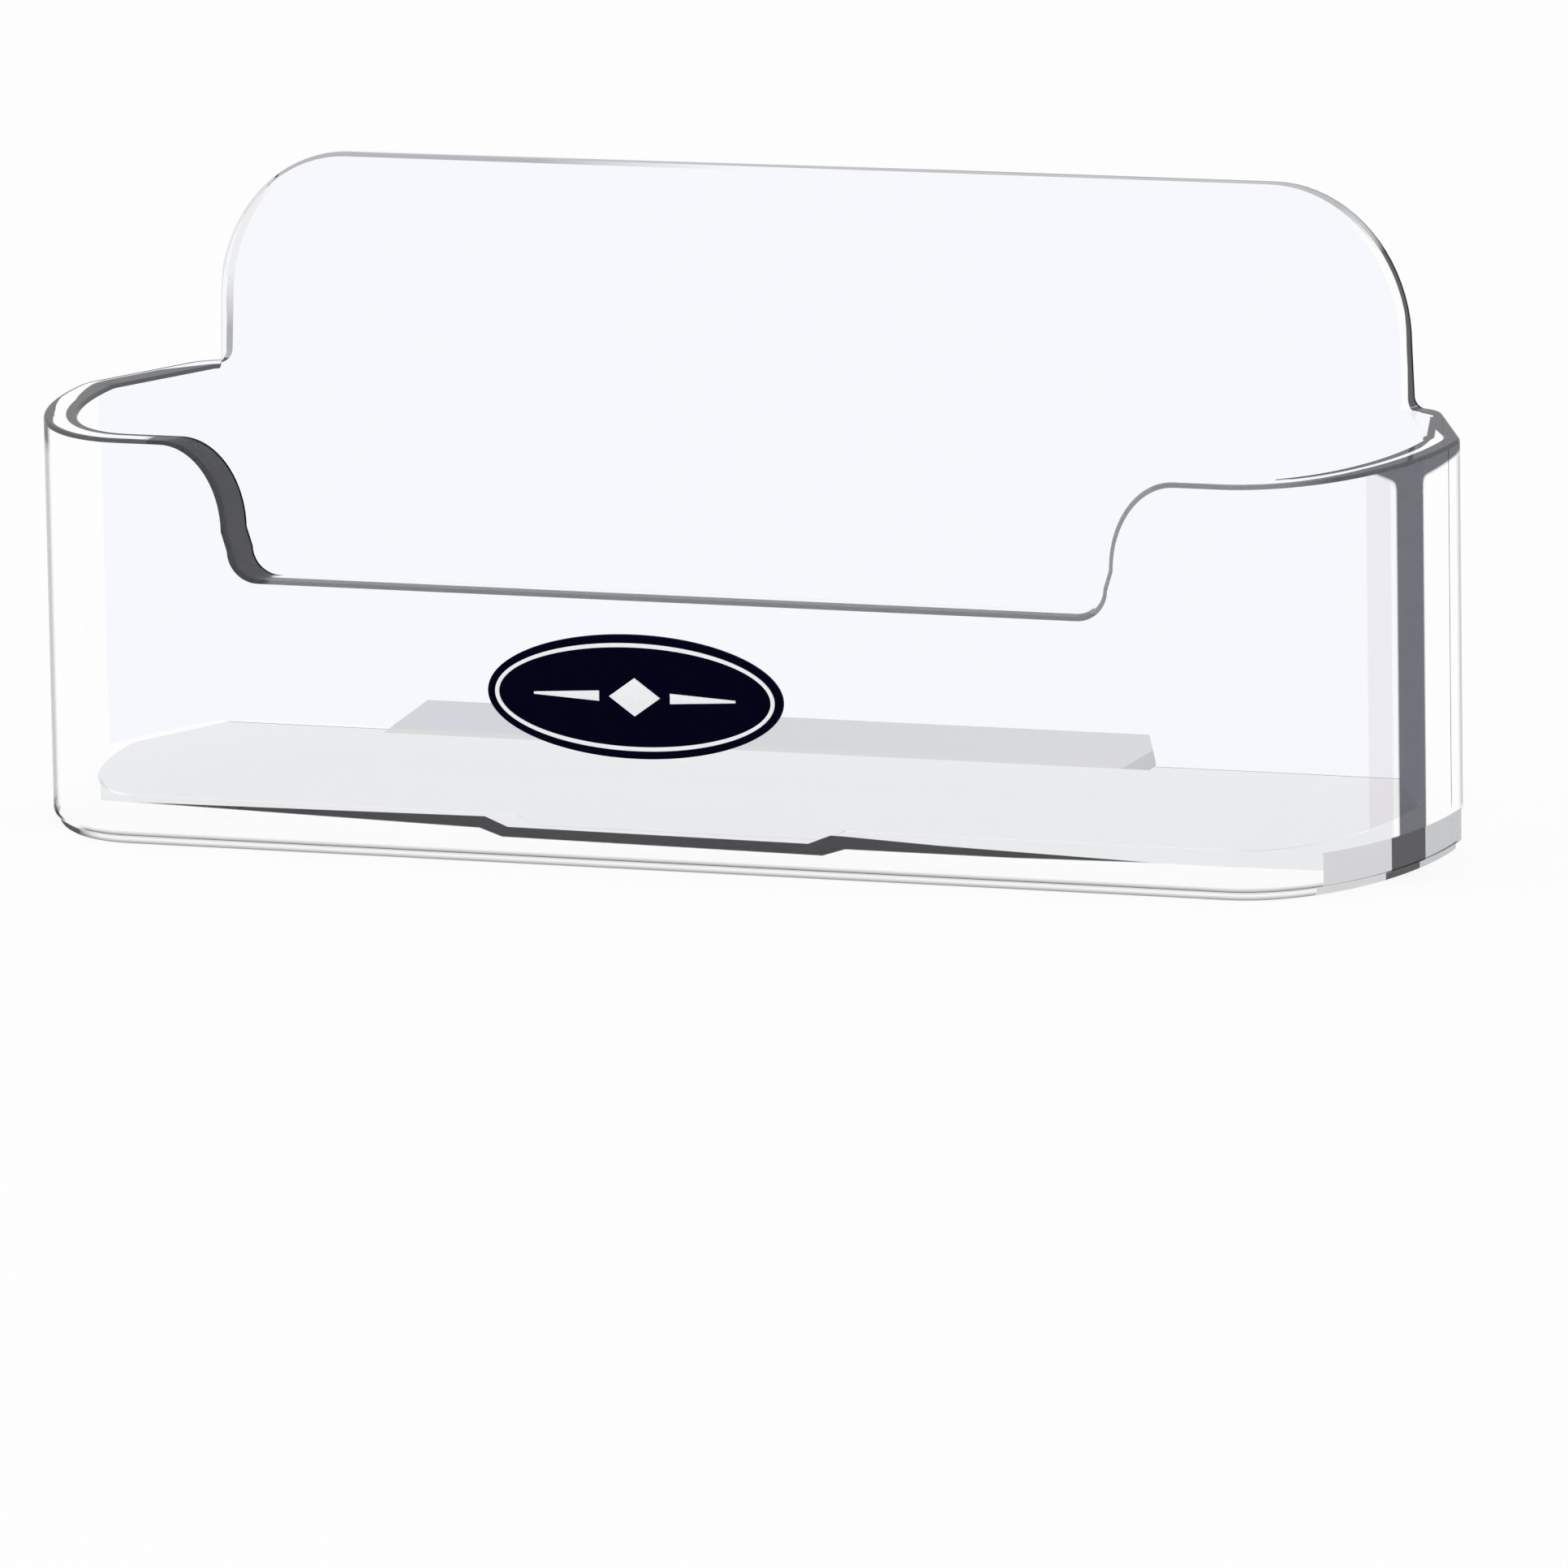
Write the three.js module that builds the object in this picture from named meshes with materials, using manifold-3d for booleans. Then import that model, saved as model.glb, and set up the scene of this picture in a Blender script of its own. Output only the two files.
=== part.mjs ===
// A business card organizer: one clear moulded tray with a raised back panel, and an oval
// badge on its front. Millimetres, +Z up, front towards -Y. The origin lies on the table,
// below the centre of the whole part.

import * as THREE from "three";
import { mergeVertices } from "three/addons/utils/BufferGeometryUtils.js";
import Module from "manifold-3d";

const wasm = await Module();
wasm.setup();

// Tray, seen from above
const bodyWidth = 98.4;
const bodyDepth = 32.2;
const widestFromFront = 19.9;
const frontCornerWidth = 10.5;
const sideRadius = 5;
const rearTaper = THREE.MathUtils.degToRad(23);
const rearCornerRadius = 3;
const wall = 2.4;
const pocketDraft = 0.25;

// Tray, heights above the table
const rimHeight = 27.8;
const baseHeight = 2.8;
const footHeight = 0.6;
const footInset = 0.4;

// Hollow under the floor
const floorThickness = 1.0;
const hollowLength = 70;
const hollowWall = 2.6;
const hollowCorner = 3;

// Raised back panel
const panelHeight = 42.9;
const panelWidth = 85.5;
const panelThickness = 2.0;
const panelCornerWidth = 9.5;
const panelCornerHeight = 10.8;
const panelFillet = 0.8;

// Lowered middle of the front wall
const cutHeight = 18.6;
const cutWidth = 61.4;
const cutFootRadius = 1.9;
const cutLean = 0.4;
const cutShoulderWidth = 4.5;
const cutShoulderHeight = 6.0;
const cutBevel = 0.8;

// Scoop in the floor behind the front wall
const scoopWidth = 23.0;
const scoopDepth = 0.6;
const scoopRun = 9;
const scoopSlope = 1.3;
const scoopRunOut = 0.05;

// Low rib at the foot of the back wall
const ribX = -2.7;
const ribLength = 55.4;
const ribHeight = 2.1;
const ribFoot = 1.7;
const ribTop = 0.4;
const ribLeftSlope = 2.7;
const ribRightSlope = 0.5;

// Oval badge
const badgeWidth = 20.8;
const badgeHeight = 8.4;
const badgeX = -2.0;
const badgeZ = 11.9;
const filmThickness = 0.3;
const printThickness = 0.1;
const ringInset = 0.55;
const ringWidth = 0.28;

// Lozenge and bars printed on the badge
const lozengeWidth = 3.6;
const lozengeHeight = 2.6;
const barLength = 4.6;
const barHeight = 0.7;
const barTip = 0.16;
const barGap = 0.7;

// Faceting
const frontCornerSteps = 22;
const rearCornerSteps = 8;
const arcSteps = 12;
const ovalSteps = 72;

// How far a cutting shape runs past the material that it cuts, and how deep one shape of
// the moulding reaches into the next where they are joined
const overrun = 1;
const joinDepth = 0.7;

const badgeStack = filmThickness + printThickness;
const frontY = -(bodyDepth - badgeStack) / 2;
const rearY = frontY + bodyDepth;
const halfPi = Math.PI / 2;

// Closed solid from two rings of points, joined point to point and capped flat at both ends.
function loft(lower, upper) {
  const n = lower.length;
  const position = [...lower, ...upper].flatMap((p) => [p.x, p.y, p.z]);
  const index = [];
  const flat = capPlane(lower);
  for (const [a, b, c] of THREE.ShapeUtils.triangulateShape(flat, [])) {
    index.push(c, b, a);
    index.push(n + a, n + b, n + c);
  }
  for (let i = 0; i < n; i++) {
    const j = (i + 1) % n;
    index.push(i, j, n + j);
    index.push(i, n + j, n + i);
  }
  const geometry = new THREE.BufferGeometry();
  geometry.setAttribute("position", new THREE.Float32BufferAttribute(position, 3));
  geometry.setIndex(index);
  return solidOf(geometry);
}

// A ring's points in the plane that it lies in: level rings by X and Y, upright rings by X and Z.
function capPlane(ring) {
  const level = ring.every((p) => Math.abs(p.z - ring[0].z) < 1e-6);
  return ring.map((p) => (level ? new THREE.Vector2(p.x, p.y) : new THREE.Vector2(p.x, p.z)));
}

// A three.js geometry as a solid that can be joined and cut.
function solidOf(geometry) {
  const bare = geometry.clone();
  bare.deleteAttribute("normal");
  bare.deleteAttribute("uv");
  const merged = mergeVertices(bare, 1e-4);
  const vertProperties = new Float32Array(merged.attributes.position.array);
  const triVerts = new Uint32Array(merged.index.array);
  const solid = new wasm.Manifold(new wasm.Mesh({ numProp: 3, vertProperties, triVerts }));
  if (solid.volume() >= 0) return solid;
  for (let i = 0; i < triVerts.length; i += 3) {
    [triVerts[i + 1], triVerts[i + 2]] = [triVerts[i + 2], triVerts[i + 1]];
  }
  return new wasm.Manifold(new wasm.Mesh({ numProp: 3, vertProperties, triVerts }));
}

// A solid back as a three.js geometry with flat-shaded normals.
function geometryOf(solid) {
  const mesh = solid.getMesh();
  const geometry = new THREE.BufferGeometry();
  geometry.setAttribute("position", new THREE.BufferAttribute(mesh.vertProperties, 3));
  geometry.setIndex(new THREE.BufferAttribute(mesh.triVerts, 1));
  const flat = geometry.toNonIndexed();
  flat.computeVertexNormals();
  return flat;
}

// Shape drawn in X and Z, given thickness along Y from nearY to farY.
function upright(shape, nearY, farY) {
  const geometry = new THREE.ExtrudeGeometry(shape, {
    depth: farY - nearY,
    bevelEnabled: false,
    curveSegments: arcSteps,
  });
  geometry.rotateX(halfPi);
  geometry.translate(0, farY, 0);
  return geometry;
}

// Right half of a profile and its mirror image, as one run of points from right to left.
function mirrored(right) {
  const left = right.map((p) => new THREE.Vector2(-p.x, p.y)).reverse();
  return [...right, ...left];
}

// Points of an elliptical arc, angles in radians.
function arc(x, y, radiusX, radiusY, from, to, steps) {
  const clockwise = to < from;
  return new THREE.EllipseCurve(x, y, radiusX, radiusY, from, to, clockwise).getPoints(steps);
}

// Plan of the tray at some inset from its outside: a straight front, deep elliptical front
// corners out to the widest point, then flanks that taper in to the rounded rear corners.
function planRing(inset, z) {
  const half = bodyWidth / 2;
  const widest = frontY + widestFromFront;
  const frontX = frontCornerWidth - inset;
  const frontReach = widestFromFront - inset;
  const sideX = half - sideRadius;
  const side = sideRadius - inset;
  const flankX = sideX + sideRadius * Math.cos(rearTaper);
  const flankY = widest + sideRadius * Math.sin(rearTaper);
  const pointX = flankX - (rearY - flankY) * Math.tan(rearTaper);
  const rearX = pointX - rearCornerRadius * Math.tan((halfPi - rearTaper) / 2);
  const rear = rearCornerRadius - inset;
  const right = [
    ...arc(half - frontCornerWidth, widest, frontX, frontReach, -halfPi, 0, frontCornerSteps),
    ...arc(sideX, widest, side, side, 0, rearTaper, rearCornerSteps).slice(1),
    ...arc(rearX, rearY - rearCornerRadius, rear, rear, rearTaper, halfPi, rearCornerSteps),
  ];
  return mirrored(right).map((p) => new THREE.Vector3(p.x, p.y, z));
}

// Level box with rounded corners.
function roundedBox(length, nearY, farY, radius, fromZ, toZ) {
  const half = length / 2;
  const right = [
    ...arc(half - radius, nearY + radius, radius, radius, -halfPi, 0, arcSteps),
    ...arc(half - radius, farY - radius, radius, radius, 0, halfPi, arcSteps),
  ];
  const ring = (z) => mirrored(right).map((p) => new THREE.Vector3(p.x, p.y, z));
  return loft(ring(fromZ), ring(toZ));
}

// Wedge in the floor, deepest at the front wall and running out towards the back.
function floorScoop() {
  const ring = (y, depth) => {
    const top = scoopWidth / 2;
    const bottom = top - scoopSlope;
    return [
      new THREE.Vector3(-bottom, y, baseHeight - depth),
      new THREE.Vector3(bottom, y, baseHeight - depth),
      new THREE.Vector3(top, y, baseHeight),
      new THREE.Vector3(top, y, baseHeight + overrun),
      new THREE.Vector3(-top, y, baseHeight + overrun),
      new THREE.Vector3(-top, y, baseHeight),
    ];
  };
  const inside = frontY + wall + pocketDraft;
  return loft(ring(inside, scoopDepth), ring(inside + scoopRun, -scoopRunOut));
}

// Profile of the lowered front: from the rim over a shoulder, down, and round a small foot
// to the level edge. The bevel draws the whole profile in sideways.
function cutRing(y, bevel) {
  const foot = cutWidth / 2 - bevel;
  const shoulder = foot + cutLean;
  const right = [
    ...arc(
      foot - cutFootRadius,
      cutHeight + cutFootRadius,
      cutFootRadius,
      cutFootRadius,
      -halfPi,
      0,
      arcSteps,
    ),
    ...arc(
      shoulder + cutShoulderWidth,
      rimHeight - cutShoulderHeight,
      cutShoulderWidth,
      cutShoulderHeight,
      Math.PI,
      halfPi,
      arcSteps,
    ),
    new THREE.Vector2(shoulder + cutShoulderWidth, rimHeight + overrun),
  ];
  return mirrored(right).map((p) => new THREE.Vector3(p.x, y, p.y));
}

function frontCut() {
  const bevelPerDepth = cutBevel / wall;
  const near = frontY - overrun;
  const far = frontY + wall + overrun;
  return loft(
    cutRing(near, (near - frontY) * bevelPerDepth),
    cutRing(far, (far - frontY) * bevelPerDepth),
  );
}

// What is kept of the back wall above the rim: a panel with rounded top corners and small
// fillets down to the rim.
function panelOutline() {
  const half = panelWidth / 2;
  const root = rimHeight - joinDepth;
  const shape = new THREE.Shape();
  shape.moveTo(-half - panelFillet, root);
  shape.lineTo(half + panelFillet, root);
  shape.lineTo(half + panelFillet, rimHeight);
  shape.absarc(half + panelFillet, rimHeight + panelFillet, panelFillet, -halfPi, -Math.PI, true);
  shape.absellipse(
    half - panelCornerWidth,
    panelHeight - panelCornerHeight,
    panelCornerWidth,
    panelCornerHeight,
    0,
    halfPi,
  );
  shape.absellipse(
    panelCornerWidth - half,
    panelHeight - panelCornerHeight,
    panelCornerWidth,
    panelCornerHeight,
    halfPi,
    Math.PI,
  );
  shape.absarc(-half - panelFillet, rimHeight + panelFillet, panelFillet, 0, -halfPi, true);
  shape.closePath();
  return solidOf(upright(shape, rearY - wall, rearY + overrun));
}

// Everything above the rim but the panel.
function aboveRim() {
  const frame = (z) => {
    const x = bodyWidth / 2 + overrun;
    return [
      new THREE.Vector3(-x, frontY - overrun, z),
      new THREE.Vector3(x, frontY - overrun, z),
      new THREE.Vector3(x, rearY + overrun, z),
      new THREE.Vector3(-x, rearY + overrun, z),
    ];
  };
  return loft(frame(rimHeight), frame(panelHeight + overrun)).subtract(panelOutline());
}

// Low ridge with a sloping face and sloping ends, moulded on the back wall and the floor.
function rearRib() {
  const inside = rearY - wall;
  const left = ribX - ribLength / 2;
  const right = ribX + ribLength / 2;
  const sunk = joinDepth / ribHeight;
  const ring = (height, reach, z) => {
    const fromX = left + height * ribLeftSlope;
    const toX = right - height * ribRightSlope;
    return [
      new THREE.Vector3(fromX, inside - reach, z),
      new THREE.Vector3(toX, inside - reach, z),
      new THREE.Vector3(toX, inside + joinDepth, z),
      new THREE.Vector3(fromX, inside + joinDepth, z),
    ];
  };
  return loft(
    ring(-sunk, ribFoot + pocketDraft, baseHeight - joinDepth),
    ring(1, ribTop, baseHeight + ribHeight),
  );
}

function trayMoulding() {
  const walls = loft(planRing(0, footHeight), planRing(0, panelHeight));
  const foot = loft(planRing(footInset, 0), planRing(footInset, footHeight + joinDepth));
  const pocket = loft(planRing(wall + pocketDraft, baseHeight), planRing(wall, rimHeight));
  const panelFace = loft(planRing(wall, rimHeight), planRing(panelThickness, panelHeight));
  const scoop = floorScoop();
  const hollow = roundedBox(
    hollowLength,
    frontY + hollowWall,
    rearY - hollowWall,
    hollowCorner,
    -overrun,
    baseHeight - floorThickness,
  ).subtract(scoop.translate([0, 0, -floorThickness]));
  return walls
    .add(foot)
    .subtract(pocket)
    .subtract(panelFace)
    .subtract(scoop)
    .subtract(hollow)
    .subtract(frontCut())
    .subtract(aboveRim())
    .add(rearRib());
}

// Oval in X and Z about the badge's centre, inset from the badge's edge.
function ovalPath(Kind, inset) {
  const path = new Kind();
  path.absellipse(0, 0, badgeWidth / 2 - inset, badgeHeight / 2 - inset, 0, 2 * Math.PI);
  return path;
}

function ovalPlate(shape, thickness) {
  return new THREE.ExtrudeGeometry(shape, {
    depth: thickness,
    bevelEnabled: false,
    curveSegments: ovalSteps,
  }).rotateX(halfPi);
}

function ringShape() {
  const shape = ovalPath(THREE.Shape, ringInset);
  shape.holes.push(ovalPath(THREE.Path, ringInset + ringWidth));
  return shape;
}

function lozengeShape() {
  const shape = new THREE.Shape();
  shape.moveTo(lozengeWidth / 2, 0);
  shape.lineTo(0, lozengeHeight / 2);
  shape.lineTo(-lozengeWidth / 2, 0);
  shape.lineTo(0, -lozengeHeight / 2);
  shape.closePath();
  return shape;
}

// Tapering bar beside the lozenge: blunt towards it, fine at its far end.
function barShape(side) {
  const near = side * (lozengeWidth / 2 + barGap);
  const far = near + side * barLength;
  const shape = new THREE.Shape();
  shape.moveTo(near, -barHeight / 2);
  shape.lineTo(far, -barTip / 2);
  shape.lineTo(far, barTip / 2);
  shape.lineTo(near, barHeight / 2);
  shape.closePath();
  return shape;
}

const clearPlastic = new THREE.MeshStandardMaterial({
  color: 0xf3f6fb,
  roughness: 0.05,
  metalness: 0,
  transparent: true,
  opacity: 0.3,
});
const navyFilm = new THREE.MeshStandardMaterial({ color: 0x05051c, roughness: 0.35, metalness: 0 });
const whitePrint = new THREE.MeshStandardMaterial({ color: 0xf4f5f7, roughness: 0.45, metalness: 0 });

function named(name, geometry, material) {
  const mesh = new THREE.Mesh(geometry, material);
  mesh.name = name;
  return mesh;
}

const organizer = new THREE.Group();
organizer.add(named("holder_moulding", geometryOf(trayMoulding()), clearPlastic));

// The badge's own frame: its origin on the tray's front face, at the badge's centre. A plate
// turned upright grows towards -Y, so the print's plates start where the film ends.
const badge = new THREE.Group();
badge.position.set(badgeX, frontY, badgeZ);
badge.add(named("badge_film", ovalPlate(ovalPath(THREE.Shape, 0), filmThickness), navyFilm));
const print = new THREE.Group();
print.position.set(0, -filmThickness, 0);
print.add(named("badge_ring", ovalPlate(ringShape(), printThickness), whitePrint));
print.add(named("badge_lozenge", ovalPlate(lozengeShape(), printThickness), whitePrint));
print.add(named("badge_bar_left", ovalPlate(barShape(-1), printThickness), whitePrint));
print.add(named("badge_bar_right", ovalPlate(barShape(1), printThickness), whitePrint));
badge.add(print);
organizer.add(badge);

export default organizer;
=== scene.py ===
import math

import bmesh
import bpy
import numpy as np
from mathutils import Matrix, Vector


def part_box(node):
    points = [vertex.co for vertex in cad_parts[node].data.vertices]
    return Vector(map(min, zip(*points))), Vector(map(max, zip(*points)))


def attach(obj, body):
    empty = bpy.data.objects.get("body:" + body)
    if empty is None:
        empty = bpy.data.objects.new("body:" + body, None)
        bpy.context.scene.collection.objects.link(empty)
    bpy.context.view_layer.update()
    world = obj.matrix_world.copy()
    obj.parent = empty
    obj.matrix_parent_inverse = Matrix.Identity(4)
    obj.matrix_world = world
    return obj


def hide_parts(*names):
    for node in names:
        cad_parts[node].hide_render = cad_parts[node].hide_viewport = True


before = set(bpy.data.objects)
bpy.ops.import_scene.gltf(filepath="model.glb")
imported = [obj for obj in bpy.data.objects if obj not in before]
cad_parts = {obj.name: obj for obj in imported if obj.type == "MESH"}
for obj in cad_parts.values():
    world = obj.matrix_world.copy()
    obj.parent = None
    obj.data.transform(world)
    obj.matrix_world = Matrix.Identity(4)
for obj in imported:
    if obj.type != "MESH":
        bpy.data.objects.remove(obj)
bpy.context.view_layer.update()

MM = 0.001
ROOT = "root"
PHOTO_SIDE = 1932

# The moulding's box gives its width, depth and height
low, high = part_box("holder_moulding")
HALF_WIDTH = high.x
FRONT = low.y
REAR = high.y
TOP = high.z

# Plan of the tray
WIDEST_FROM_FRONT = 19.9 * MM
FRONT_CORNER_WIDTH = 10.5 * MM
SIDE_RADIUS = 5 * MM
REAR_TAPER = math.radians(23)
REAR_CORNER_RADIUS = 3 * MM
WALL = 2.4 * MM
POCKET_DRAFT = 0.25 * MM
PANEL_THICKNESS = 2.0 * MM

# Heights above the table
RIM = 27.8 * MM
FLOOR = 2.8 * MM
FOOT = 0.6 * MM
FOOT_INSET = 0.4 * MM

# Lowered middle of the front wall
CUT_HEIGHT = 18.6 * MM
CUT_HALF = 30.7 * MM
CUT_FOOT_RADIUS = 1.9 * MM
CUT_LEAN = 0.4 * MM
CUT_SHOULDER_WIDTH = 4.5 * MM
CUT_SHOULDER_HEIGHT = 6.0 * MM
CUT_BEVEL = 0.8 * MM

# Back panel
PANEL_HALF = 42.8 * MM
PANEL_LEAN = 0.15 * MM
PANEL_CORNER_WIDTH = 9.5 * MM
PANEL_CORNER_HEIGHT = 10.8 * MM
PANEL_FILLET = 0.8 * MM

# Hollow under the floor
FLOOR_THICKNESS = 1.0 * MM
HOLLOW_HALF = 35 * MM
HOLLOW_WALL = 2.6 * MM
HOLLOW_CORNER = 3 * MM

# Scoop in the floor behind the front wall
SCOOP_HALF = 11.5 * MM
SCOOP_DEPTH = 0.6 * MM
SCOOP_RUN = 9 * MM
SCOOP_SLOPE = 1.3 * MM
SCOOP_RUN_OUT = 0.05 * MM

# Low rib at the foot of the back wall
RIB_LEFT = -30.4 * MM
RIB_RIGHT = 25.0 * MM
RIB_HEIGHT = 2.1 * MM
RIB_FOOT = 1.7 * MM
RIB_TOP = 0.4 * MM
RIB_LEFT_SLOPE = 2.7 * MM
RIB_RIGHT_SLOPE = 0.5 * MM

# Badge
BADGE_X = -2 * MM
BADGE_Z = 11.9 * MM
BADGE_HALF_WIDTH = 10.4 * MM
BADGE_HALF_HEIGHT = 4.2 * MM
FILM_THICKNESS = 0.3 * MM
PRINT_THICKNESS = 0.1 * MM
RING_INSET = 0.55 * MM
RING_WIDTH = 0.28 * MM
LOZENGE_HALF_WIDTH = 1.8 * MM
LOZENGE_HALF_HEIGHT = 1.3 * MM
BAR_LENGTH = 4.6 * MM
BAR_HALF_HEIGHT = 0.35 * MM
BAR_HALF_TIP = 0.08 * MM
BAR_GAP = 0.7 * MM

# Small radii that the mould and the cutter leave
EDGE_RADIUS = 0.25 * MM
LIP_RADIUS = 0.2 * MM
FLOOR_FILLET = 0.5 * MM
FILM_RADIUS = 0.06 * MM
PRINT_RADIUS = 0.03 * MM

# How far a cutting shape runs past the material, and the hair of air that keeps two faces
# that rest on each other apart
OVERRUN = 1 * MM
HAIR = 0.01 * MM

# Tests for the vertices on a plate's front and for the faces at its sides
ON_FRONT = HAIR / 10
SIDE_NORMAL = 0.5

# Steps of the curves
FRONT_CORNER_STEPS = 48
SIDE_STEPS = 16
FLANK_STEPS = 8
ARC_STEPS = 20
ROUND_STEPS = 4
OVAL_STEPS = 144
PLATE_ROUND_STEPS = 3
PLATE_ROUND_PROFILE = 0.5
TABLE_STEPS = 6000

# Angles between faces that stay sharp in the shading, and the weight of large faces in it
SHELL_SHARP = math.radians(40)
PLATE_SHARP = math.radians(50)
FACE_WEIGHT = 100

WIDEST = FRONT + WIDEST_FROM_FRONT
FRONT_X = HALF_WIDTH - FRONT_CORNER_WIDTH
SIDE_X = HALF_WIDTH - SIDE_RADIUS
FLANK_X = SIDE_X + SIDE_RADIUS * math.cos(REAR_TAPER)
FLANK_Y = WIDEST + SIDE_RADIUS * math.sin(REAR_TAPER)
REAR_POINT_X = FLANK_X - (REAR - FLANK_Y) * math.tan(REAR_TAPER)
REAR_X = REAR_POINT_X - REAR_CORNER_RADIUS * math.tan((math.pi / 2 - REAR_TAPER) / 2)


def plan(v, inset):
    """X and Y on the tray's plan at an inset from its outside. v runs from 0 at the front's
    middle by 1 at the front corner, 2 at the widest point, 3 and 4 at the ends of the flank,
    5 after the rear corner and 6 at the rear's middle round to 12."""
    side = np.where(v <= 6, 1, -1)
    w = np.where(v <= 6, v, 12 - v)
    front = (w - 2) * math.pi / 2
    turn = (w - 2) * REAR_TAPER
    rear = REAR_TAPER + (w - 4) * (math.pi / 2 - REAR_TAPER)
    side_radius = SIDE_RADIUS - inset
    rear_radius = REAR_CORNER_RADIUS - inset
    flank_start_x = SIDE_X + side_radius * math.cos(REAR_TAPER)
    flank_start_y = WIDEST + side_radius * math.sin(REAR_TAPER)
    flank_end_x = REAR_X + rear_radius * math.cos(REAR_TAPER)
    flank_end_y = REAR - REAR_CORNER_RADIUS + rear_radius * math.sin(REAR_TAPER)
    zone = [w < 1, w < 2, w < 3, w < 4, w < 5]
    x = np.select(
        zone,
        [
            w * FRONT_X,
            FRONT_X + (FRONT_CORNER_WIDTH - inset) * np.cos(front),
            SIDE_X + side_radius * np.cos(turn),
            flank_start_x + (w - 3) * (flank_end_x - flank_start_x),
            REAR_X + rear_radius * np.cos(rear),
        ],
        (6 - w) * REAR_X,
    )
    y = np.select(
        zone,
        [
            FRONT + inset + 0 * w,
            WIDEST + (WIDEST_FROM_FRONT - inset) * np.sin(front),
            WIDEST + side_radius * np.sin(turn),
            flank_start_y + (w - 3) * (flank_end_y - flank_start_y),
            REAR - REAR_CORNER_RADIUS + rear_radius * np.sin(rear),
        ],
        REAR - inset + 0 * w,
    )
    return side * x, y


# Distance along the outside from the front's middle, against v
V_TABLE = np.linspace(0, 6, TABLE_STEPS + 1)
x_table, y_table = plan(V_TABLE, 0)
S_TABLE = np.concatenate([[0], np.cumsum(np.hypot(np.diff(x_table), np.diff(y_table)))])
HALF_ROUND = S_TABLE[-1]


def v_at(s):
    """v at a distance s along the outside, from -HALF_ROUND to HALF_ROUND."""
    v = np.interp(np.abs(s), S_TABLE, V_TABLE)
    return np.where(s >= 0, v, 12 - v)


def surface(s, z, inset):
    """Points at a distance s round the tray, a height z and an inset from the outside."""
    x, y = plan(v_at(s), inset)
    return np.stack([x, y, z + 0 * x], axis=1)


def inner_inset(z):
    """Thickness of the wall at a height: drafted in the pocket, thinner up the panel."""
    heights = [FLOOR, RIM, TOP]
    return np.interp(z, heights, [WALL + POCKET_DRAFT, WALL, PANEL_THICKNESS])


def arc(x, z, radius_x, radius_z, start, end, steps):
    """Points of an elliptical arc in X and Z, angles in degrees."""
    angles = np.radians(np.linspace(start, end, steps + 1))
    return [(x + radius_x * math.cos(a), z + radius_z * math.sin(a)) for a in angles]


def top_edge(bevel):
    """The moulding's top edge as points (s, z) from the front's middle to the rear's middle:
    the lowered front, its shoulder, the rim round the end and the back panel."""
    foot = CUT_HALF - bevel
    shoulder = foot + CUT_LEAN + CUT_SHOULDER_WIDTH
    radius = CUT_FOOT_RADIUS
    points = [(0, CUT_HEIGHT), (foot / 3, CUT_HEIGHT), (foot * 2 / 3, CUT_HEIGHT)]
    points += arc(foot - radius, CUT_HEIGHT + radius, radius, radius, -90, 0, ARC_STEPS)
    points += arc(
        shoulder,
        RIM - CUT_SHOULDER_HEIGHT,
        CUT_SHOULDER_WIDTH,
        CUT_SHOULDER_HEIGHT,
        180,
        90,
        ARC_STEPS,
    )
    corner = np.linspace(1, 2, FRONT_CORNER_STEPS + 1)
    side = np.linspace(2, 3, SIDE_STEPS + 1)[1:]
    flank = np.linspace(3, 4, FLANK_STEPS + 1)[1:]
    rear = np.linspace(4, 5, SIDE_STEPS + 1)[1:]
    panel_start = HALF_ROUND - PANEL_HALF - PANEL_FILLET
    for v in [*corner, *side, *flank, *rear]:
        s = float(np.interp(v, V_TABLE, S_TABLE))
        if s < panel_start - EDGE_RADIUS / 2:
            points.append((s, RIM))
    panel = arc(
        PANEL_HALF + PANEL_FILLET,
        RIM + PANEL_FILLET,
        PANEL_FILLET,
        PANEL_FILLET,
        -90,
        -180,
        ARC_STEPS,
    )
    panel += arc(
        PANEL_HALF - PANEL_LEAN - PANEL_CORNER_WIDTH,
        TOP - PANEL_CORNER_HEIGHT,
        PANEL_CORNER_WIDTH,
        PANEL_CORNER_HEIGHT,
        0,
        90,
        ARC_STEPS,
    )
    panel += [(PANEL_HALF * 2 / 5, TOP), (PANEL_HALF / 5, TOP), (0, TOP)]
    points += [(HALF_ROUND - x, z) for x, z in panel]
    return np.array(points)


def whole_round(half):
    """A half edge and its mirror image as one closed run of points (s, z)."""
    mirror = half[1:-1][::-1] * [-1, 1]
    return np.concatenate([half, mirror])


def drawn_in(edge, distance):
    """The closed run moved into the material by a distance, in the developed wall."""
    unrolled = edge.copy()
    unrolled[:, 0] = np.where(edge[:, 0] < 0, 2 * HALF_ROUND + edge[:, 0], edge[:, 0])
    span = np.array([2 * HALF_ROUND, 0])
    before = np.concatenate([unrolled[-1:] - span, unrolled[:-1]])
    after = np.concatenate([unrolled[1:], unrolled[:1] + span])
    ahead = (after - unrolled) / np.linalg.norm(after - unrolled, axis=1, keepdims=True)
    behind = (unrolled - before) / np.linalg.norm(unrolled - before, axis=1, keepdims=True)
    along = ahead + behind
    along /= np.linalg.norm(along, axis=1, keepdims=True)
    normal = np.stack([along[:, 1], -along[:, 0]], axis=1)
    moved = unrolled + normal * distance
    moved[:, 0] = np.where(moved[:, 0] > HALF_ROUND, moved[:, 0] - 2 * HALF_ROUND, moved[:, 0])
    return moved


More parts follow.
